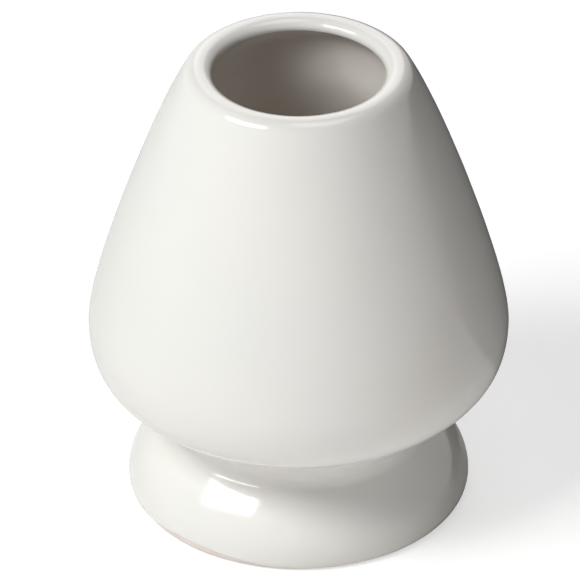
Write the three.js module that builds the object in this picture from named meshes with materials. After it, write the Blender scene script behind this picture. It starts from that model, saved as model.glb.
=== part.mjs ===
// A glazed ceramic stand for a tea whisk: a hollow cone-shaped head on a flared, hollow foot.
// The origin is the centre of the ring that it stands on, +Z is up, and all sizes are in millimetres.
import * as THREE from "three";

const degrees = Math.PI / 180;

// Glazed outline of the head
const holderHeight = 75.05;
const mouthRadius = 13.2;
const lipCrestRadius = 15.2;
const lipOuterRound = 2.7;
const lipInnerDrop = 1.45;
const lipUnderRound = 0.5;
const lipUnderLean = 65 * degrees;
const shoulderTurn = 59.6 * degrees;
const bellyRadius = 32.5;
const bellyHeight = 29.7;

// Glazed outline of the neck and the foot
const neckRadius = 20;
const neckHeight = 12.4;
const neckRound = 1.9;
const underBodyDip = 62 * degrees;
const domeDip = 40 * degrees;
const footRadius = 26.6;
const footRimHeight = 1.85;
const standOuterRadius = 25.5;
const standInnerRadius = 21;

// Clay walls, and the throat behind the lip's roll, below which the well opens out
const headWall = 4.2;
const floorThickness = 4.4;
const neckWall = 4.6;
const throatRadius = 16.8;
const throatDrop = 11;
const throatLean = 5 * degrees;

// The joint of slip in the neck, with a groove that the clay's bevelled edges leave for it
const slipBed = 0.8;
const seamBevel = 1.6;

// The glaze, and the bare bands that were wiped clean above the stand
const glazeThickness = 0.35;
const glazeEdgeThickness = 0.12;
const bareBandHeight = 0.9;
const recessBareHeight = 1.4;
const recessCornerRound = 1.6;
const bondClearance = 0.02;

// How far a stretch's start and end handles reach, as shares of the distance between its ends
const wallShares = [0.215, 0.137];
const underBodyShares = [0.529, 0.431];
const domeShares = [0.302, 0.308];
const footEdgeShares = [0.46, 0.28];
const recessShares = [0.4, 0.45];
const wellFloorShares = [0.5, 0.2];
const wellWallShares = [0.25, 0.25];
const throatShares = [0.8, 0.1];

// Straight steps round the holder, and along each stretch of its outline
const turningSteps = 48;
const lipUnderSteps = 2;
const lipInnerSteps = 4;
const lipOuterSteps = 4;
const wallSteps = 6;
const underBodySteps = 8;
const seamSteps = 1;
const neckSteps = 3;
const domeSteps = 5;
const footEdgeSteps = 2;
const wellFloorSteps = 5;
const wellWallSteps = 4;
const throatSteps = 5;
const recessSteps = 4;
const cornerSteps = 2;

// Places that follow from the sizes above: head and foot meet at the neck's narrowest ring
const glazeBed = glazeThickness + bondClearance;
const headSeatHeight = neckHeight + slipBed / 2;
const footTopHeight = neckHeight - slipBed / 2;
const seatRadius = neckRadius - glazeBed - seamBevel;
const recessTopRadius = neckRadius - glazeBed - neckWall;
const recessCeiling = headSeatHeight - glazeBed;
const wellRadius = bellyRadius - glazeBed - headWall - glazeBed;
const wellBottom = headSeatHeight + floorThickness + glazeBed;
const throatHeight = holderHeight - throatDrop;

const up = new THREE.Vector2(0, 1);
const down = new THREE.Vector2(0, -1);
const outwards = new THREE.Vector2(1, 0);
const inwards = new THREE.Vector2(-1, 0);

function at(radius, height) {
  return new THREE.Vector2(radius, height);
}

// A heading that dips below the level by an angle, outwards for a side of 1 and inwards for -1
function dipping(angle, side) {
  return at(side * Math.cos(angle), -Math.sin(angle));
}

// A heading that leans in towards the axis, by an angle from straight up
function leaning(angle) {
  return at(-Math.sin(angle), Math.cos(angle));
}

// A stretch of outline that leaves its start along one heading and reaches its end along another
function stretch(start, startHeading, end, endHeading, [startShare, endShare]) {
  const span = start.distanceTo(end);
  return new THREE.CubicBezierCurve(
    start,
    start.clone().addScaledVector(startHeading, span * startShare),
    end.clone().addScaledVector(endHeading, -span * endShare),
    end,
  );
}

// The share of a rising or falling stretch at which it reaches a height
function shareAtHeight(curve, height) {
  const rises = curve.getPoint(1).y > curve.getPoint(0).y;
  let low = 0;
  let high = 1;
  for (let halving = 0; halving < 40; halving += 1) {
    const middle = (low + high) / 2;
    const isBelow = curve.getPoint(middle).y < height;
    if (isBelow === rises) low = middle;
    else high = middle;
  }
  return low;
}

// Points along a stretch, each sunk by a depth into the clay, which lies to the right of its heading.
// The depth is one size, or a function of the share of the stretch.
function trace(curve, steps, depth, from = 0, to = 1) {
  return Array.from({ length: steps + 1 }, (_, step) => {
    const share = from + ((to - from) * step) / steps;
    const heading = curve.getTangent(share);
    const sunk = typeof depth === "function" ? depth(share) : depth;
    return curve.getPoint(share).add(at(heading.y, -heading.x).multiplyScalar(sunk));
  });
}

// The glazed outline runs from the middle of the well's floor up to the lip, down to the stand,
// and from there up the foot's hollow. Its clay always lies to the right.
const wellFloor = stretch(at(0, wellBottom), outwards, at(wellRadius, bellyHeight), up, wellFloorShares);
const wellWall = stretch(
  at(wellRadius, bellyHeight),
  up,
  at(throatRadius, throatHeight),
  leaning(throatLean),
  wellWallShares,
);
const lipUnder = new THREE.EllipseCurve(
  mouthRadius + lipUnderRound,
  holderHeight - lipInnerDrop,
  lipUnderRound,
  lipUnderRound,
  Math.PI + lipUnderLean,
  Math.PI,
  true,
);
const lipInner = new THREE.EllipseCurve(
  lipCrestRadius,
  holderHeight - lipInnerDrop,
  lipCrestRadius - mouthRadius,
  lipInnerDrop,
  Math.PI,
  Math.PI / 2,
  true,
);
const throat = stretch(
  at(throatRadius, throatHeight),
  leaning(throatLean),
  lipUnder.getPoint(0),
  leaning(lipUnderLean),
  throatShares,
);
const lipOuter = new THREE.EllipseCurve(
  lipCrestRadius,
  holderHeight - lipOuterRound,
  lipOuterRound,
  lipOuterRound,
  Math.PI / 2,
  Math.PI / 2 - shoulderTurn,
  true,
);
const wall = stretch(
  lipOuter.getPoint(1),
  dipping(shoulderTurn, 1),
  at(bellyRadius, bellyHeight),
  down,
  wallShares,
);
const neck = new THREE.EllipseCurve(
  neckRadius + neckRound,
  neckHeight,
  neckRound,
  neckRound,
  Math.PI / 2 + underBodyDip,
  1.5 * Math.PI - domeDip,
);
const underBody = stretch(
  at(bellyRadius, bellyHeight),
  down,
  neck.getPoint(0),
  dipping(underBodyDip, -1),
  underBodyShares,
);
const dome = stretch(
  neck.getPoint(1),
  dipping(domeDip, 1),
  at(footRadius, footRimHeight),
  down,
  domeShares,
);
const footEdge = stretch(
  at(footRadius, footRimHeight),
  down,
  at(standOuterRadius, 0),
  inwards,
  footEdgeShares,
);
const recessWall = stretch(
  at(standInnerRadius, 0),
  up,
  at(recessTopRadius, footTopHeight),
  up,
  recessShares,
);

// Where the slip's groove and the glaze's edges cross those stretches
const grooveTop = shareAtHeight(underBody, headSeatHeight + seamBevel);
const grooveBottom = shareAtHeight(dome, footTopHeight - seamBevel);
const glazeLine = shareAtHeight(footEdge, bareBandHeight);
const recessLine = shareAtHeight(recessWall, recessBareHeight);
const recessCorner = shareAtHeight(recessWall, recessCeiling - recessCornerRound);

// The glaze thins towards its edge on the foot, and the bare clay swells to the full outline below
function glazeOnFootEdge(share) {
  return THREE.MathUtils.lerp(glazeThickness, glazeEdgeThickness, share / glazeLine);
}

function clayOnFootEdge(share) {
  const bare = (share - glazeLine) / (1 - glazeLine);
  const underGlaze = glazeOnFootEdge(Math.min(share, glazeLine)) + bondClearance;
  return underGlaze * (1 - Math.max(bare, 0));
}

// The skin over the slip's groove, sunk by a depth
function grooveSkin(depth) {
  return [
    ...trace(underBody, seamSteps, depth, grooveTop, 1),
    ...trace(neck, neckSteps, depth).slice(1),
    ...trace(dome, seamSteps, depth, 0, grooveBottom).slice(1),
  ];
}

// The lip and the head's outside down to the groove, sunk by a depth
function headSkin(depth) {
  return [
    ...trace(lipUnder, lipUnderSteps, depth),
    ...trace(lipInner, lipInnerSteps, depth).slice(1),
    ...trace(lipOuter, lipOuterSteps, depth).slice(1),
    ...trace(wall, wallSteps, depth).slice(1),
    ...trace(underBody, underBodySteps, depth, 0, grooveTop).slice(1),
  ];
}

// The well from the middle of its floor to the lip, sunk by a depth
function wellSkin(depth) {
  return [
    ...trace(wellFloor, wellFloorSteps, depth),
    ...trace(wellWall, wellWallSteps, depth).slice(1),
    ...trace(throat, throatSteps, depth).slice(1),
  ];
}

// The wall of the foot's hollow from its bare band up to the slip, sunk by a depth
function recessSide(depth) {
  return [
    ...trace(recessWall, recessSteps, depth, recessLine, recessCorner),
    ...trace(recessWall, seamSteps, depth, recessCorner, 1).slice(1),
  ];
}

// A ring or bowl turned about the upright axis. Its outline closes on itself or starts and ends on
// the axis, with the material to the right; a lathe geometry takes it the other way round.
function turned(outline) {
  const geometry = new THREE.LatheGeometry([...outline].reverse(), turningSteps);
  return geometry.rotateX(Math.PI / 2);
}

function closed(outline) {
  return [...outline, outline[0]];
}

function headShellGeometry() {
  return turned([
    ...wellSkin(glazeBed),
    ...headSkin(glazeBed).slice(1),
    at(seatRadius, headSeatHeight),
    at(0, headSeatHeight),
  ]);
}

function footPedestalGeometry() {
  return turned(
    closed([
      at(seatRadius, footTopHeight),
      ...trace(dome, domeSteps, glazeBed, grooveBottom, 1),
      ...trace(footEdge, footEdgeSteps, clayOnFootEdge, 0, glazeLine).slice(1),
      ...trace(footEdge, footEdgeSteps, clayOnFootEdge, glazeLine, 1).slice(1),
      at(standInnerRadius, 0),
      ...recessSide(0),
    ]),
  );
}

// The slip lies between the two flat seats and fills the groove round them, clear of both clays
function lutingSlipGeometry() {
  const clear = at(0, bondClearance);
  const groove = grooveSkin(glazeBed);
  groove[0].sub(clear);
  groove.at(-1).add(clear);
  return turned(
    closed([
      at(recessTopRadius, headSeatHeight - bondClearance),
      at(seatRadius, headSeatHeight - bondClearance),
      ...groove,
      at(seatRadius, footTopHeight + bondClearance),
      at(recessTopRadius, footTopHeight + bondClearance),
    ]),
  );
}

// The outer coat was dipped after the well was lined, so it laps over the lip into the mouth
function outerGlazeGeometry() {
  const coat = (depth, footEdgeDepth) => [
    ...headSkin(depth),
    ...grooveSkin(depth).slice(1),
    ...trace(dome, domeSteps, depth, grooveBottom, 1).slice(1),
    ...trace(footEdge, footEdgeSteps, footEdgeDepth, 0, glazeLine).slice(1),
  ];
  return turned(closed([...coat(0, 0), ...coat(glazeThickness, glazeOnFootEdge).reverse()]));
}

function wellGlazeGeometry() {
  return turned([...wellSkin(0), ...wellSkin(glazeThickness).reverse()]);
}

// The glaze in the foot's hollow climbs the wall and pools in the corner under the head's seat
function recessGlazeGeometry() {
  const skinTop = at(recessTopRadius - glazeBed, recessCeiling);
  const skin = trace(recessWall, recessSteps, -glazeBed, recessLine, recessCorner);
  const corner = new THREE.QuadraticBezierCurve(
    skin.at(-1),
    skinTop,
    at(skinTop.x - recessCornerRound, recessCeiling),
  );
  return turned([
    at(0, headSeatHeight - bondClearance),
    at(recessTopRadius - bondClearance, headSeatHeight - bondClearance),
    ...recessSide(-bondClearance).reverse(),
    ...skin,
    ...corner.getPoints(cornerSteps).slice(1),
    at(0, recessCeiling),
  ]);
}

function clay() {
  return new THREE.MeshStandardMaterial({ color: 0xe8d9d0, roughness: 0.85, metalness: 0 });
}

function slip() {
  return new THREE.MeshStandardMaterial({ color: 0xddccc0, roughness: 0.9, metalness: 0 });
}

function glaze() {
  return new THREE.MeshStandardMaterial({ color: 0xedece7, roughness: 0.08, metalness: 0 });
}

function piece(name, geometry, material) {
  const mesh = new THREE.Mesh(geometry, material);
  mesh.name = name;
  return mesh;
}

const fired = new THREE.Group();
fired.add(
  piece("head_shell", headShellGeometry(), clay()),
  piece("luting_slip", lutingSlipGeometry(), slip()),
  piece("foot_pedestal", footPedestalGeometry(), clay()),
);

const glazes = new THREE.Group();
glazes.add(
  piece("outer_glaze", outerGlazeGeometry(), glaze()),
  piece("well_glaze", wellGlazeGeometry(), glaze()),
  piece("recess_glaze", recessGlazeGeometry(), glaze()),
);

const teaWhiskHolder = new THREE.Group();
teaWhiskHolder.add(fired, glazes);

export default teaWhiskHolder;
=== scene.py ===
import math

import bpy
import numpy as np
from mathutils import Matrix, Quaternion, Vector


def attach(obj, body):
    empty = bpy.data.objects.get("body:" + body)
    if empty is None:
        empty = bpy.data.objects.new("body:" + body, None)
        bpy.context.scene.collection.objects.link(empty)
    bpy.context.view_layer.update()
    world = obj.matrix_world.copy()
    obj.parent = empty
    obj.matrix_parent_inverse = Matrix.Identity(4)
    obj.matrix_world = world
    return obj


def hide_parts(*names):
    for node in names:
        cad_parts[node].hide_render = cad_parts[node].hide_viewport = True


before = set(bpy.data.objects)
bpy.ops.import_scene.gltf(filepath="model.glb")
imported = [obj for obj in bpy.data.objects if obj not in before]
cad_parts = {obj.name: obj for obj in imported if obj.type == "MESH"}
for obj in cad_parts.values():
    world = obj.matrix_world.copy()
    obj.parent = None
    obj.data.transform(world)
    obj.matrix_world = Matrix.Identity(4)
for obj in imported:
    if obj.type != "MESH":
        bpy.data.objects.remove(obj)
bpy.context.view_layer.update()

# The head: a hollow cone with a round mouth, cast in fine white clay and fired once before glazing.
# The coats of glaze hide all of it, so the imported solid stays, in the bare clay's own finish.

MM = 0.001
CLAY_COLOUR = (0.80, 0.74, 0.70, 1)
CLAY_DARK = (0.74, 0.66, 0.61, 1)
CLAY_LEAST_ROUGHNESS = 0.71
CLAY_ROUGHNESS_SPREAD = 0.15
CLAY_CLOUD_SCALE = 130
CLAY_CLOUD_DETAIL = 3.0
CLAY_CLOUD_RAMP = (0.35, 0.7)
CLAY_GRAIN_SCALE = 2600
CLAY_GRAIN_DETAIL = 4.0
CLAY_GRAIN_HARSHNESS = 0.7
CLAY_GRAIN_RAMP = (0.45, 0.75)
CLAY_GRAIN_HEIGHT = 0.04 * MM


class Strand:
    """A shader socket that joins in Python arithmetic: each operation on it adds one Math node."""

    def __init__(self, tree, socket=None):
        self.tree = tree
        self.socket = socket

    def node(self, kind, settings, inputs, output=0):
        """Adds one node of a kind. Its settings are set first, and then its sockets get numbers,
        colours or other strands. The strand of one of its outputs comes back."""
        made = self.tree.nodes.new("ShaderNode" + kind)
        for name, value in settings.items():
            setattr(made, name, value)
        for name, value in inputs.items():
            if isinstance(value, Strand):
                self.tree.links.new(value.socket, made.inputs[name])
            else:
                made.inputs[name].default_value = value
        return Strand(self.tree, made.outputs[output] if made.outputs else None)

    def math(self, operation, *values):
        """A Math node on numbers or strands, such as the larger of two."""
        return self.node("Math", {"operation": operation}, dict(enumerate(values)))

    def __add__(self, other):
        return self.math("ADD", self, other)

    def __sub__(self, other):
        return self.math("SUBTRACT", self, other)

    def __rsub__(self, other):
        return self.math("SUBTRACT", other, self)

    def __mul__(self, other):
        return self.math("MULTIPLY", self, other)

    def __truediv__(self, other):
        return self.math("DIVIDE", self, other)

    __radd__ = __add__
    __rmul__ = __mul__

    def ramp(self, low, high):
        """0 below low, 1 above high and a smooth step between them."""
        return self.node(
            "MapRange",
            {"interpolation_type": "SMOOTHSTEP"},
            {"Value": self, "From Min": low, "From Max": high},
        )

    def blend(self, first, second):
        """The first colour where the strand is 0, the second where it is 1. A Mix node's colours
        are its inputs 6 and 7, and its output 2."""
        return self.node("Mix", {"data_type": "RGBA"}, {0: self, 6: first, 7: second}, 2)

    def noise(self, place, scale, detail=2.0, roughness=0.5):
        """Smooth random clouds from 0 to 1 over a place, scale of them in a metre."""
        return self.node(
            "TexNoise",
            {},
            {"Vector": place, "Scale": scale, "Detail": detail, "Roughness": roughness},
        )


def finish(name):
    """A new material, its Principled shader, and a strand of the piece's own coordinates in it."""
    material = bpy.data.materials.new(name)
    material.use_nodes = True
    tree = material.node_tree
    shader = tree.nodes["Principled BSDF"]
    place = Strand(tree).node("TexCoord", {}, {}, "Object")
    return material, shader, place


def feed(shader, name, strand):
    """Joins a strand to a socket of a shader."""
    strand.tree.links.new(strand.socket, shader.inputs[name])


def clay_finish(name, colour, dark):
    """Clouds and a fine grain between two tones of fired clay, with the grain raised."""
    material, shader, place = finish(name)
    cloud = place.noise(place, CLAY_CLOUD_SCALE, CLAY_CLOUD_DETAIL).ramp(*CLAY_CLOUD_RAMP)
    grain = place.noise(place, CLAY_GRAIN_SCALE, CLAY_GRAIN_DETAIL, CLAY_GRAIN_HARSHNESS)
    tone = (cloud + grain.ramp(*CLAY_GRAIN_RAMP)) / 2
    feed(shader, "Base Color", tone.blend(colour, dark))
    feed(shader, "Roughness", grain * CLAY_ROUGHNESS_SPREAD + CLAY_LEAST_ROUGHNESS)
    bump = place.node("Bump", {}, {"Distance": CLAY_GRAIN_HEIGHT, "Height": grain})
    feed(shader, "Normal", bump)
    return material, shader, tone


def dress(node, material):
    """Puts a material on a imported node's own slots."""
    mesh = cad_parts[node].data
    mesh.materials.clear()
    mesh.materials.append(material)


dress("head_shell", clay_finish("fired_clay_head", CLAY_COLOUR, CLAY_DARK)[0])

# The luting slip: a thick cream of the same clay that joins the head to the foot in the neck.
# It fired a shade darker and coarser than the cast clay, and the outer coat runs over it.

SLIP_COLOUR = (0.70, 0.60, 0.52, 1)
SLIP_DARK = (0.60, 0.49, 0.41, 1)

dress("luting_slip", clay_finish("fired_slip", SLIP_COLOUR, SLIP_DARK)[0])

# The foot: a flared, hollow pedestal of the same clay, turned true and glazed inside and out.
# Its glaze was wiped off above the ring that it stands on, highest at the front left, and the bare
# clay blushed in the kiln.

TURNS = 288
NECK_RADIUS = 20 * MM
NECK_HEIGHT = 12.4 * MM
NECK_ROUND = 1.9 * MM
UNDER_BODY_DIP = math.radians(62)
DOME_DIP = math.radians(40)
DOME_SHARES = (0.302, 0.308)
FOOT_RADIUS = 26.6 * MM
FOOT_RIM_HEIGHT = 1.85 * MM
FOOT_EDGE_SHARES = (0.46, 0.28)
STAND_OUTER_RADIUS = 25.5 * MM
STAND_INNER_RADIUS = 21 * MM
STAND_CORNER_ROUND = 0.45 * MM
RECESS_SHARES = (0.4, 0.45)
NECK_WALL = 4.6 * MM
SLIP_BED = 0.8 * MM
SEAM_BEVEL = 1.6 * MM
GLAZE = 0.35 * MM
GLAZE_EDGE = 0.17 * MM
BOND = 0.02 * MM
BARE_BAND = 0.2 * MM
BARE_BAND_RISE = 1.4 * MM
BARE_BAND_RISE_TIGHTNESS = 11
BARE_BAND_RISE_SIDE = math.radians(-129)
BARE_BAND_LEAST = 0.1 * MM
RECESS_BARE = 1.4 * MM
RECESS_SWELL = 1.6
RECESS_TURN = 2
BLUSH_COLOUR = (0.80, 0.66, 0.63, 1)
BLUSH_REACH = (0.05 * MM, 0.45 * MM)
BLUSH_LEAST = 0.4
BLUSH_PATCH_SCALE = 260
BLUSH_PATCH_DETAIL = 3.0
BLUSH_PATCH_RAMP = (0.3, 0.72)
DOME_BED_ROWS = 24
EDGE_BED_ROWS = 12
BARE_EDGE_ROWS = 10
CORNER_ROWS = 5
BARE_WALL_ROWS = 8
GLAZED_WALL_ROWS = 16
SHARE_TABLE_STEPS = 4000
SHARP_EDGE = math.radians(38)
ON_AXIS = 1e-9

# Waves round the bare bands: how many, their size and their phase.
BARE_BAND_WAVES = (
    (3, 0.05 * MM, 1.1),
    (7, 0.035 * MM, 4.0),
    (17, 0.02 * MM, 2.3),
)
# Slow waves of every turned surface: how many round, the climb per metre, their size and phase.
WOBBLES = (
    (2, 0, 0.030 * MM, 0.4),
    (3, 90, 0.018 * MM, 2.1),
    (5, -160, 0.010 * MM, 5.0),
    (1, 700, 0.006 * MM, 1.0),
)

UP, DOWN, OUTWARDS, INWARDS = (0, 1), (0, -1), (1, 0), (-1, 0)
glaze_bed = GLAZE + BOND
head_seat_height = NECK_HEIGHT + SLIP_BED / 2
foot_top_height = NECK_HEIGHT - SLIP_BED / 2
seat_radius = NECK_RADIUS - glaze_bed - SEAM_BEVEL
recess_top_radius = NECK_RADIUS - glaze_bed - NECK_WALL
stand_middle_radius = (STAND_OUTER_RADIUS + STAND_INNER_RADIUS) / 2
angles = np.linspace(0, 2 * math.pi, TURNS, endpoint=False)


def dipping(angle, side):
    """The unit heading that dips below the level by an angle, outwards for 1 and inwards for -1."""
    return (side * math.cos(angle), -math.sin(angle))


def unit(vectors):
    """Vectors divided by their own lengths."""
    return vectors / np.linalg.norm(vectors, axis=-1, keepdims=True)


def arc(centre, across, tall, start, end):
    """An ellipse's arc: the centre plus across times the cosine and tall times the sine of an angle
    that runs evenly from start to end. A circle has the same size across as tall."""

    def place(share):
        angle = start + (end - start) * share
        spot = np.stack([across * np.cos(angle), tall * np.sin(angle)], -1) + centre
        pace = np.stack([-across * np.sin(angle), tall * np.cos(angle)], -1)
        return spot, unit(pace * np.sign(end - start))

    return place


def stretch(start, start_heading, end, end_heading, shares):
    """A cubic: its ends and two handles, weighted by the cubes and products of share and 1 - share.
    Each handle lies along the heading at its end, by a share of the distance between the ends."""
    start, end = np.array(start, float), np.array(end, float)
    span = np.hypot(*(end - start))
    first = start + np.array(start_heading) * span * shares[0]
    second = end - np.array(end_heading) * span * shares[1]

    def place(share):
        t = np.asarray(share)[..., None]
        rest = 1 - t
        spot = rest**3 * start + 3 * t * rest**2 * first + 3 * t**2 * rest * second + t**3 * end
        pace = rest**2 * (first - start) + 2 * t * rest * (second - first) + t**2 * (end - second)
        return spot, unit(pace)

    return place


def end_of(place):
    """The spot at a share of 1."""
    return place(np.array(1.0))[0]


def share_at_height(place, heights):
    """The share at which a rising or falling stretch reaches each height, from a fine table of it."""
    table = np.linspace(0, 1, SHARE_TABLE_STEPS + 1)
    reached = place(table)[0][:, 1]
    order = 1 if reached[-1] > reached[0] else -1
    return np.interp(heights, reached[::order], table[::order])


def rows(place, steps, depth=0.0, start=0.0, end=1.0):
    """Rings along a stretch between two shares, each one number or one number per angle. A point
    lies the depth to the right of the stretch's heading; the depth may be a function of the share."""
    run = np.linspace(0, 1, steps + 1)[:, None]
    share = start + (end - start) * run + np.zeros(TURNS)
    spot, heading = place(share)
    sunk = depth(share) if callable(depth) else depth + 0 * share
    return spot + np.stack([heading[..., 1], -heading[..., 0]], -1) * sunk[..., None]


def ring(radius, height):
    """One level ring, as a row of the same radius and height at every angle."""
    return np.stack([radius + 0 * angles, height + 0 * angles], -1)[None]


def wavy(height, swell, turn):
    """A height at every angle: the one given, plus the bare bands' sines, swelled and turned."""
    waves = (size * np.sin(count * angles + phase + turn) for count, size, phase in BARE_BAND_WAVES)
    return height + swell * sum(waves)


def turned(name, outline, material, attribute=None):
    """A body swept round the upright axis: row i, angle a lies at (r cos a, r sin a, z). The outline
    closes on itself, or on a pole where it starts and ends on the axis, with its inside to the
    right. A few slow waves round and up the body, each a sine, shift every radius alike."""
    poles = np.abs(outline[[0, -1], 0, 0]).max() < ON_AXIS
    grid = outline[1:-1] if poles else outline
    count = len(grid)
    radius, height = grid[..., 0], grid[..., 1]
    for turns, climb, size, phase in WOBBLES:
        fullness = np.clip(radius / FOOT_RADIUS, 0, 1)
        radius = radius + size * np.sin(turns * angles + climb * height + phase) * fullness
    points = np.stack([radius * np.cos(angles), radius * np.sin(angles), height], -1).reshape(-1, 3)
    here = np.arange(TURNS)
    there = (here + 1) % TURNS
    low = np.arange(count - 1 if poles else count)[:, None] * TURNS
    high = (low + TURNS) % (count * TURNS)
    quads = np.stack([low + here, high + here, high + there, low + there], -1).reshape(-1, 4)
    corners, starts = quads.ravel(), np.arange(len(quads)) * 4
    if poles:
        first, last = len(points), len(points) + 1
        top_row = (count - 1) * TURNS
        tips = [[0, 0, outline[0, 0, 1]], [0, 0, outline[-1, 0, 1]]]
        points = np.concatenate([points, tips])
        first_fan = np.stack([first + 0 * here, here, there], -1)
        last_fan = np.stack([last + 0 * here, there + top_row, here + top_row], -1)
        fans = np.concatenate([first_fan, last_fan])
        starts = np.concatenate([starts, len(corners) + np.arange(len(fans)) * 3])
        corners = np.concatenate([corners, fans.ravel()])
    mesh = bpy.data.meshes.new(name)
    mesh.vertices.add(len(points))
    mesh.vertices.foreach_set("co", points.ravel().astype(np.float32))
    mesh.loops.add(len(corners))
    mesh.loops.foreach_set("vertex_index", corners.astype(np.int32))
    mesh.polygons.add(len(starts))
    mesh.polygons.foreach_set("loop_start", starts.astype(np.int32))
    mesh.polygons.foreach_set("use_smooth", np.ones(len(starts), bool))
    mesh.update(calc_edges=True)
    mesh.set_sharp_from_angle(angle=SHARP_EDGE)
    if attribute is not None:
        values = np.zeros(len(points), np.float32)
        values[: attribute.size] = attribute.ravel()
        mesh.attributes.new("edge_distance", "FLOAT", "POINT").data.foreach_set("value", values)
    mesh.materials.append(material)
    body = bpy.data.objects.new(name, mesh)
    bpy.context.scene.collection.objects.link(body)
    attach(body, "root")
    return body


neck = arc(
    (NECK_RADIUS + NECK_ROUND, NECK_HEIGHT),
    NECK_ROUND,
    NECK_ROUND,
    math.pi / 2 + UNDER_BODY_DIP,
    1.5 * math.pi - DOME_DIP,
)
dome = stretch(
    end_of(neck), dipping(DOME_DIP, 1), (FOOT_RADIUS, FOOT_RIM_HEIGHT), DOWN, DOME_SHARES
)
foot_edge = stretch(
    (FOOT_RADIUS, FOOT_RIM_HEIGHT), DOWN, (STAND_OUTER_RADIUS, 0), INWARDS, FOOT_EDGE_SHARES
)
recess_wall = stretch(
    (STAND_INNER_RADIUS, 0), UP, (recess_top_radius, foot_top_height), UP, RECESS_SHARES
)
stand_corner = arc(
    (STAND_INNER_RADIUS + STAND_CORNER_ROUND, STAND_CORNER_ROUND),
    STAND_CORNER_ROUND,
    STAND_CORNER_ROUND,
    1.5 * math.pi,
    math.pi,
)
groove_bottom = share_at_height(dome, foot_top_height - SEAM_BEVEL)
rise = np.exp(BARE_BAND_RISE_TIGHTNESS * (np.cos(angles - BARE_BAND_RISE_SIDE) - 1))
band_height = np.maximum(wavy(BARE_BAND + BARE_BAND_RISE * rise, 1, 0), BARE_BAND_LEAST)
glaze_line = share_at_height(foot_edge, band_height)
recess_band = wavy(RECESS_BARE, RECESS_SWELL, RECESS_TURN)
recess_line = share_at_height(recess_wall, recess_band)
corner_top = share_at_height(recess_wall, STAND_CORNER_ROUND)


def coat_on_foot_edge(share):
    """The coat's thickness falls evenly from full at the foot's rim to the edge's at the line."""
    return GLAZE + (GLAZE_EDGE - GLAZE) * np.clip(share / glaze_line, 0, 1)


def clay_on_foot_edge(share):
    """The clay lies under the coat down to the line, and swells evenly to the outline below it."""
    bare = np.clip((share - glaze_line) / (1 - glaze_line), 0, 1)
    return (coat_on_foot_edge(share) + BOND) * (1 - bare)


foot_outline = np.concatenate(
    [
        ring(recess_top_radius, foot_top_height),
        ring(seat_radius, foot_top_height),
        rows(dome, DOME_BED_ROWS, glaze_bed, groove_bottom, 1),
        rows(foot_edge, EDGE_BED_ROWS, clay_on_foot_edge, 0, glaze_line)[1:],
        rows(foot_edge, BARE_EDGE_ROWS, clay_on_foot_edge, glaze_line, 1)[1:],
        ring(stand_middle_radius, 0),
        rows(stand_corner, CORNER_ROWS),
        rows(recess_wall, BARE_WALL_ROWS, 0, corner_top, recess_line)[1:],
        rows(recess_wall, GLAZED_WALL_ROWS, 0, recess_line, 1)[1:-1],
    ]
)
outside = foot_outline[..., 0] > stand_middle_radius
edge_distance = np.where(outside, band_height, recess_band) - foot_outline[..., 1]

foot_material, foot_shader, foot_tone = clay_finish("fired_clay_foot", CLAY_COLOUR, CLAY_DARK)
distance = foot_tone.node("Attribute", {"attribute_name": "edge_distance"}, {}, "Fac")
foot_place = foot_tone.node("TexCoord", {}, {}, "Object")
patches = foot_tone.noise(foot_place, BLUSH_PATCH_SCALE, BLUSH_PATCH_DETAIL).ramp(*BLUSH_PATCH_RAMP)
blush = (1 - distance.ramp(*BLUSH_REACH)) * (patches * (1 - BLUSH_LEAST) + BLUSH_LEAST)
foot_clay = foot_tone.blend(CLAY_COLOUR, CLAY_DARK)
feed(foot_shader, "Base Color", blush.blend(foot_clay, BLUSH_COLOUR))

foot = turned("bare_foot", foot_outline, foot_material, edge_distance)
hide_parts("foot_pedestal")

# The well's glaze: poured into the head, swirled and poured out, so it lines the floor and wall
# up to the mouth. It fired glossy. It is a shade warmer and greyer than the outer coat as painted
# shade: the warm tint stands for the brown tone of the shade inside the well.

HOLDER_HEIGHT = 75.05 * MM
BELLY_RADIUS = 32.5 * MM
BELLY_HEIGHT = 29.7 * MM
MOUTH_RADIUS = 13.2 * MM
LIP_CREST_RADIUS = 15.2 * MM
LIP_INNER_DROP = 1.45 * MM
LIP_UNDER_ROUND = 0.5 * MM
LIP_UNDER_LEAN = math.radians(65)
THROAT_RADIUS = 16.8 * MM
THROAT_DROP = 11 * MM
THROAT_LEAN = math.radians(5)
THROAT_SHARES = (0.8, 0.1)
HEAD_WALL = 4.2 * MM
FLOOR_THICKNESS = 4.4 * MM
WELL_FLOOR_SHARES = (0.5, 0.2)
WELL_WALL_SHARES = (0.25, 0.25)
WELL_SKIN_ROWS = (56, 48, 30)
WELL_BED_ROWS = (18, 14, 8)
WELL_SHADE_WARMED_COLOUR = (0.855, 0.81, 0.755, 1)
GLAZE_COLOUR = (0.84, 0.827, 0.785, 1)
GLAZE_COOL = (0.82, 0.817, 0.785, 1)
GLAZE_THIN = (0.80, 0.76, 0.71, 1)
GLAZE_ROUGHNESS = 0.105
GLAZE_IOR = 1.5
GLAZE_CLOUD_SCALE = 45
GLAZE_CLOUD_RAMP = (0.3, 0.75)
GLAZE_CLOUD_ROUGHNESS = 0.025
GLAZE_PEEL_SCALE = 620
GLAZE_PEEL_DETAIL = 1.5
GLAZE_PEEL_HEIGHT = 0.0045 * MM
THIN_CREST_DROP = 1.2 * MM
THIN_CREST_SHARE = 0.35
THIN_RIM_HEIGHTS = (0.5 * MM, 1.6 * MM)
THIN_RIM_SHARE = 0.8
SPECK_COLOUR = (0.42, 0.34, 0.27, 1)
SPECK_SCALE = 260
SPECK_SIZE = (0.03, 0.06)
SPECK_STRENGTH = 0.06
SPECK_ROUGHNESS = 0.2
SPECK_AREA_SCALE = 150
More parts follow.
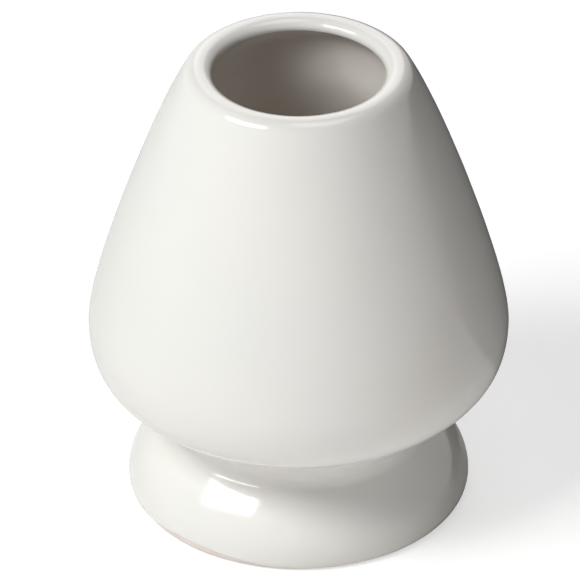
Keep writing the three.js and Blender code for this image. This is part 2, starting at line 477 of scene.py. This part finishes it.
SPECK_AREA_RAMP = (0.68, 0.7)


def leaning(angle):
    """The unit heading that leans in towards the axis, by an angle from straight up."""
    return (-math.sin(angle), math.cos(angle))


def start_of(place):
    """The spot at a share of 0."""
    return place(np.array(0.0))[0]


well_radius = BELLY_RADIUS - glaze_bed - HEAD_WALL - glaze_bed
well_bottom = head_seat_height + FLOOR_THICKNESS + glaze_bed
throat_start = (THROAT_RADIUS, HOLDER_HEIGHT - THROAT_DROP)
throat_heading = leaning(THROAT_LEAN)
well_floor = stretch(
    (0, well_bottom), OUTWARDS, (well_radius, BELLY_HEIGHT), UP, WELL_FLOOR_SHARES
)
lip_under = arc(
    (MOUTH_RADIUS + LIP_UNDER_ROUND, HOLDER_HEIGHT - LIP_INNER_DROP),
    LIP_UNDER_ROUND,
    LIP_UNDER_ROUND,
    math.pi + LIP_UNDER_LEAN,
    math.pi,
)
lip_inner = arc(
    (LIP_CREST_RADIUS, HOLDER_HEIGHT - LIP_INNER_DROP),
    LIP_CREST_RADIUS - MOUTH_RADIUS,
    LIP_INNER_DROP,
    math.pi,
    math.pi / 2,
)
well_wall = stretch(
    (well_radius, BELLY_HEIGHT), UP, throat_start, throat_heading, WELL_WALL_SHARES
)
throat = stretch(
    throat_start, throat_heading, start_of(lip_under), leaning(LIP_UNDER_LEAN), THROAT_SHARES
)


def run_of(stretches, steps, depth=0.0):
    """Rings along stretches that follow on from each other, with each ring they share there once."""
    runs = [rows(place, count, depth) for place, count in zip(stretches, steps)]
    return np.concatenate([runs[0][:1]] + [run[1:] for run in runs])


def glaze_finish(name, warm=GLAZE_COLOUR, cool=GLAZE_COOL):
    """A warm white glaze: slow clouds of a cooler white, a thinner and warmer film over the lip's
    crest and the foot's rim, a few pinhole specks, and the fine orange peel of a melted surface."""
    material, shader, place = finish(name)
    height = place.node("SeparateXYZ", {}, {"Vector": place}, "Z")
    cloud = place.noise(place, GLAZE_CLOUD_SCALE).ramp(*GLAZE_CLOUD_RAMP)
    crest = height.ramp(HOLDER_HEIGHT - THIN_CREST_DROP, HOLDER_HEIGHT)
    rim = 1 - height.ramp(*THIN_RIM_HEIGHTS)
    thin = crest * THIN_CREST_SHARE + rim * THIN_RIM_SHARE
    grains = place.node("TexVoronoi", {}, {"Vector": place, "Scale": SPECK_SCALE}, "Distance")
    areas = place.noise(place, SPECK_AREA_SCALE, 0.0).ramp(*SPECK_AREA_RAMP)
    speck = (1 - grains.ramp(*SPECK_SIZE)) * areas
    film = thin.blend(cloud.blend(warm, cool), GLAZE_THIN)
    feed(shader, "Base Color", (speck * SPECK_STRENGTH).blend(film, SPECK_COLOUR))
    matter = cloud * GLAZE_CLOUD_ROUGHNESS + speck * SPECK_ROUGHNESS
    feed(shader, "Roughness", matter + GLAZE_ROUGHNESS)
    peel = place.noise(place, GLAZE_PEEL_SCALE, GLAZE_PEEL_DETAIL)
    feed(shader, "Normal", place.node("Bump", {}, {"Distance": GLAZE_PEEL_HEIGHT, "Height": peel}))
    shader.inputs["IOR"].default_value = GLAZE_IOR
    return material


well_run = (well_floor, well_wall, throat)
well_outline = np.concatenate(
    [run_of(well_run, WELL_SKIN_ROWS), run_of(well_run, WELL_BED_ROWS, GLAZE)[::-1]]
)
# The well's white is warmed as painted shade: its tint stands for the brown tone of shade inside.
well_material = glaze_finish("white_glaze_well", WELL_SHADE_WARMED_COLOUR, WELL_SHADE_WARMED_COLOUR)
well_lining = turned("well_lining", well_outline, well_material)
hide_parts("well_glaze")

# The hollow's glaze: brushed inside the foot above its wiped band, over the wall and up onto the
# underside of the head's seat. It ran while it melted, so it pools in the corner between them.

RECESS_CORNER_ROUND = 1.6 * MM
RECESS_CORNER_SHARES = (0.5, 0.5)
RECESS_CEILING_SHARES = (0.3, 0.3)
RECESS_BEAD = 0.4 * MM
RECESS_BED_ROWS = 16
RECESS_SKIN_ROWS = 40
RECESS_CORNER_ROWS = 10
RECESS_CEILING_ROWS = 24

recess_ceiling = head_seat_height - glaze_bed
recess_corner = share_at_height(recess_wall, recess_ceiling - RECESS_CORNER_ROUND)
recess_reach = RECESS_BEAD / foot_top_height


def rounded_edge(share, line, reach, full):
    """The coat's skin near its edge: a quarter of an ellipse that drops by the full thickness
    over the reach, as shares of the stretch from the line."""
    near = np.clip(1 - np.abs(share - line) / reach, 0, 1)
    return full * (1 - np.sqrt(1 - near**2))


def recess_depth(share):
    """The skin stands a bed's thickness off the wall, and rounds down to it at the wiped line."""
    return rounded_edge(share, recess_line, recess_reach, GLAZE) - glaze_bed


recess_skin = rows(recess_wall, RECESS_SKIN_ROWS, recess_depth, recess_line, recess_corner)
skin_end = recess_skin[-1, 0]
ceiling_start = (skin_end[0] - RECESS_CORNER_ROUND, recess_ceiling)
corner_turn = stretch(skin_end, UP, ceiling_start, INWARDS, RECESS_CORNER_SHARES)
ceiling = stretch(ceiling_start, INWARDS, (0, recess_ceiling), INWARDS, RECESS_CEILING_SHARES)
recess_outline = np.concatenate(
    [
        ring(0, head_seat_height - BOND),
        ring(recess_top_radius - BOND, head_seat_height - BOND),
        rows(recess_wall, RECESS_BED_ROWS, -BOND, recess_line, 1)[::-1],
        recess_skin[1:],
        rows(corner_turn, RECESS_CORNER_ROWS)[1:],
        rows(ceiling, RECESS_CEILING_ROWS)[1:],
    ]
)
recess_lining = turned("recess_lining", recess_outline, glaze_finish("white_glaze_recess"))
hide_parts("recess_glaze")

# The outer coat: the joined holder was dipped mouth down, so one skin of white glaze runs from
# just inside the mouth over the lip, the head, the neck and the foot to its wiped edge.

LIP_OUTER_ROUND = 2.7 * MM
SHOULDER_TURN = math.radians(59.6)
WALL_SHARES = (0.215, 0.137)
UNDER_BODY_SHARES = (0.529, 0.431)
COAT_BEAD = 0.3 * MM
FOOT_EDGE_SLANT = 1.2
COAT_SKIN_ROWS = (9, 18, 18, 60, 48, 16, 36)
COAT_BED_ROWS = (3, 6, 6, 12, 12, 5, 8)
EDGE_SKIN_ROWS = 22
EDGE_COAT_BED_ROWS = 4

lip_outer = arc(
    (LIP_CREST_RADIUS, HOLDER_HEIGHT - LIP_OUTER_ROUND),
    LIP_OUTER_ROUND,
    LIP_OUTER_ROUND,
    math.pi / 2,
    math.pi / 2 - SHOULDER_TURN,
)
wall = stretch(
    end_of(lip_outer), dipping(SHOULDER_TURN, 1), (BELLY_RADIUS, BELLY_HEIGHT), DOWN, WALL_SHARES
)
under_body = stretch(
    (BELLY_RADIUS, BELLY_HEIGHT),
    DOWN,
    start_of(neck),
    dipping(UNDER_BODY_DIP, -1),
    UNDER_BODY_SHARES,
)
coat_reach = COAT_BEAD / (FOOT_RIM_HEIGHT * FOOT_EDGE_SLANT)


def coat_skin(share):
    """The coat's skin on the foot's edge, which rounds down to the clay in a bead at the line."""
    return rounded_edge(share, glaze_line, coat_reach, GLAZE_EDGE)


coat_run = (lip_under, lip_inner, lip_outer, wall, under_body, neck, dome)
coat_bed = np.concatenate(
    [
        run_of(coat_run, COAT_BED_ROWS, GLAZE),
        rows(foot_edge, EDGE_COAT_BED_ROWS, coat_on_foot_edge, 0, glaze_line)[1:],
    ]
)
coat_outline = np.concatenate(
    [
        run_of(coat_run, COAT_SKIN_ROWS),
        rows(foot_edge, EDGE_SKIN_ROWS, coat_skin, 0, glaze_line)[1:],
        coat_bed[-2::-1],
    ]
)
outer_coat = turned("outer_coat", coat_outline, glaze_finish("white_glaze_coat"))
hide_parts("outer_glaze")

# The tabletop: a wide white board that the holder stands on, with its soft shadow near the foot.
# It runs into a white background. A painted dark reflection on it, behind the holder's right side, is
# seen only in the glaze: a dark patch that stands for shade there and keeps that side's edge deep;
# for all other light the board is matt white.

TABLE_HALF = 4.0
TABLE_DROP = 0.02 * MM
TABLE_CORNERS = ((-1, -1), (1, -1), (1, 1), (-1, 1))
TABLE_WHITE = (0.94, 0.94, 0.93, 1)
TABLE_SHOWN = (1.5, 1.5, 1.49, 1)
PAPER_WHITE = (1, 1, 1, 1)
SHADOW_DEPTH = 0.4
SHADOW_REACH = (0.12, 0.30)
MIRROR_REACH = (0.25, 0.60)
DARK_REFLECTION_COLOUR = (0.07, 0.066, 0.062, 1)
DARK_REFLECTION_FRONT = 0.019
DARK_REFLECTION_SIDE = (-0.012, 0.012)
DARK_REFLECTION_EDGE = 0.0012
DARK_REFLECTION_FADE_START = 0.2
DARK_REFLECTION_FADE = 0.6

table_mesh = bpy.data.meshes.new("tabletop")
table_mesh.from_pydata(
    [(x * TABLE_HALF, y * TABLE_HALF, -TABLE_DROP) for x, y in TABLE_CORNERS], [], [(0, 1, 2, 3)]
)
tabletop = bpy.data.objects.new("tabletop", table_mesh)
bpy.context.scene.collection.objects.link(tabletop)
board = bpy.data.materials.new("white_board")
board.use_nodes = True
board.node_tree.nodes.clear()
strand = Strand(board.node_tree)


def light_path(strand, name):
    """1 for a ray of the named kind and 0 for any other."""
    return strand.node("LightPath", {}, {}, name)


def mirrored(strand):
    """1 for a ray from a reflection or a refraction, and 0 for all other light."""
    glossy = light_path(strand, "Is Glossy Ray")
    return strand.math("MAXIMUM", glossy, light_path(strand, "Is Transmission Ray"))


ground = strand.node("TexCoord", {}, {}, "Object")
reach = ground.node("VectorMath", {"operation": "LENGTH"}, {0: ground}, "Value")
across = ground.node("SeparateXYZ", {}, {"Vector": ground}, "X")
along = ground.node("SeparateXYZ", {}, {"Vector": ground}, "Y")
# The painted dark reflection: a patch of board behind the holder's right side that only reflections
# see dark, standing for shade there.
softness = across.math("MAXIMUM", across - DARK_REFLECTION_FADE_START, 0.0) * DARK_REFLECTION_FADE + DARK_REFLECTION_EDGE
dark_reflection_mask = ((along - DARK_REFLECTION_FRONT) / softness).ramp(-1.0, 1.0) * across.ramp(*DARK_REFLECTION_SIDE)
matt = strand.node("BsdfDiffuse", {}, {"Color": TABLE_WHITE})
near_board = strand.node("BsdfDiffuse", {}, {"Color": TABLE_SHOWN})
painted_dark_reflection = strand.node("BsdfDiffuse", {}, {"Color": DARK_REFLECTION_COLOUR})
far_board = strand.node("Emission", {}, {"Color": PAPER_WHITE, "Strength": 1.0})
lift = 1 - (1 - reach.ramp(*SHADOW_REACH)) * SHADOW_DEPTH
shown = strand.node("MixShader", {}, {0: lift, 1: near_board, 2: far_board})
light_mirror = strand.node("MixShader", {}, {0: reach.ramp(*MIRROR_REACH), 1: matt, 2: far_board})
# Reflections see the painted dark patch in place of the lit board behind the right side.
mirror = strand.node("MixShader", {}, {0: dark_reflection_mask, 1: light_mirror, 2: painted_dark_reflection})
unseen = strand.node("MixShader", {}, {0: mirrored(strand), 1: matt, 2: mirror})
camera_ray = light_path(strand, "Is Camera Ray")
surface = strand.node("MixShader", {}, {0: camera_ray, 1: unseen, 2: shown})
strand.node("OutputMaterial", {}, {"Surface": surface})
table_mesh.materials.append(board)

# The studio: a wide soft panel with a brighter core from the front left, a tall panel behind that
# shines in the lip, one above the right that only the glaze shows, a dim ceiling, a low fill in
# front and a small bounce card on the tabletop. The air round them is white.

KEY_WHITE = (0.98, 1, 0.995)
REAR_WHITE = (1, 0.955, 0.98)
FILL_WHITE = (1, 0.94, 0.94)
AIM = Vector((0, 0, 0.036))
PANEL_FAR = 1.1
CARD_PLACE = Vector((0.07, -0.10, 0.001))
CARD_WIDTH = 0.16
CARD_TALL = 0.10
CARD_GLOW = 0.5

# Name, degrees round from the front towards the right, degrees up, roll, width, height, glow,
# whether the glaze mirrors it, whether it lights matt surfaces, and colour.
PANELS = (
    ("key_wide", -62, 45, 25, 0.62, 0.38, 11.4, True, True, KEY_WHITE),
    ("key_core", -50, 51, 25, 0.30, 0.28, 5.6, True, True, KEY_WHITE),
    ("rear_panel", 180, 34, 0, 0.66, 0.80, 1.9, True, True, REAR_WHITE),
    ("top_panel", 90, 79, 0, 0.60, 0.50, 2.5, True, False, REAR_WHITE),
    ("ceiling", 0, 88, 0, 0.50, 0.50, 1.4, False, True, FILL_WHITE),
    ("low_panel", 2, 6, 0, 0.80, 0.20, 4.1, False, True, FILL_WHITE),
)


def soft_panel(name, width, tall, glow, tint, shows, lights):
    """A flat soft lamp of width x tall metres. Its face has the radiance glow, so its power is that
    times pi times its area."""
    lamp = bpy.data.lights.new(name, "AREA")
    lamp.shape = "RECTANGLE"
    lamp.size = width
    lamp.size_y = tall
    lamp.energy = glow * math.pi * width * tall
    lamp.color = tint
    panel = bpy.data.objects.new(name, lamp)
    panel.visible_camera = False
    panel.visible_glossy = shows
    panel.visible_diffuse = lights
    bpy.context.scene.collection.objects.link(panel)
    return panel


for name, azimuth, elevation, roll, width, tall, glow, shows, lights, tint in PANELS:
    panel = soft_panel(name, width, tall, glow, tint, shows, lights)
    round_by, up_by = math.radians(azimuth), math.radians(elevation)
    level = Vector((math.sin(round_by), -math.cos(round_by), 0)) * math.cos(up_by)
    ray = level + Vector((0, 0, math.sin(up_by)))
    panel.location = AIM + ray * PANEL_FAR
    turn = Quaternion((0, 0, 1), math.radians(roll))
    panel.rotation_euler = (ray.to_track_quat("Z", "Y") @ turn).to_euler()

card = soft_panel("bounce_card", CARD_WIDTH, CARD_TALL, CARD_GLOW, FILL_WHITE, False, True)
card.location = CARD_PLACE
card.rotation_euler = (math.pi, 0, 0)

world = bpy.data.worlds.new("studio")
bpy.context.scene.world = world
world.use_nodes = True
world.node_tree.nodes.clear()
air = Strand(world.node_tree)
unlit = air.node("Background", {}, {"Strength": 0.0})
white = air.node("Background", {}, {"Color": PAPER_WHITE, "Strength": 1.0})
seen = air.math("MAXIMUM", mirrored(air), light_path(air, "Is Camera Ray"))
sky = air.node("MixShader", {}, {0: seen, 1: unlit, 2: white})
air.node("OutputWorld", {}, {"Surface": sky})

# The camera: a long lens from the front, 33 degrees above the tabletop, aimed so that the holder
# stands in the square picture where the photograph has it.

CAMERA_ELEVATION = math.radians(33.0)
CAMERA_FAR = 1.1
SENSOR_WIDTH = 36
SIGHT_END = 50
PICTURE_SIDE = 580
PIXELS_PER_MM = 6.482
AXIS_COLUMN = 298.7
CENTRE_ROW = 282.42

camera_up = Vector((0, math.sin(CAMERA_ELEVATION), math.cos(CAMERA_ELEVATION)))
camera_back = Vector((0, -math.cos(CAMERA_ELEVATION), math.sin(CAMERA_ELEVATION)))
eye = AIM + camera_back * CAMERA_FAR
target = AIM - Vector((1, 0, 0)) * (AXIS_COLUMN - PICTURE_SIDE / 2) / PIXELS_PER_MM * MM
target = target + camera_up * (CENTRE_ROW - PICTURE_SIDE / 2) / PIXELS_PER_MM * MM
lens = bpy.data.cameras.new("camera")
lens.sensor_width = SENSOR_WIDTH
lens.lens = SENSOR_WIDTH * PIXELS_PER_MM * CAMERA_FAR / MM / PICTURE_SIDE
lens.clip_end = SIGHT_END
camera = bpy.data.objects.new("camera", lens)
camera.location = eye
camera.rotation_euler = (target - eye).to_track_quat("-Z", "Y").to_euler()
bpy.context.scene.collection.objects.link(camera)
bpy.context.scene.camera = camera
bpy.context.scene.view_settings.view_transform = "Standard"
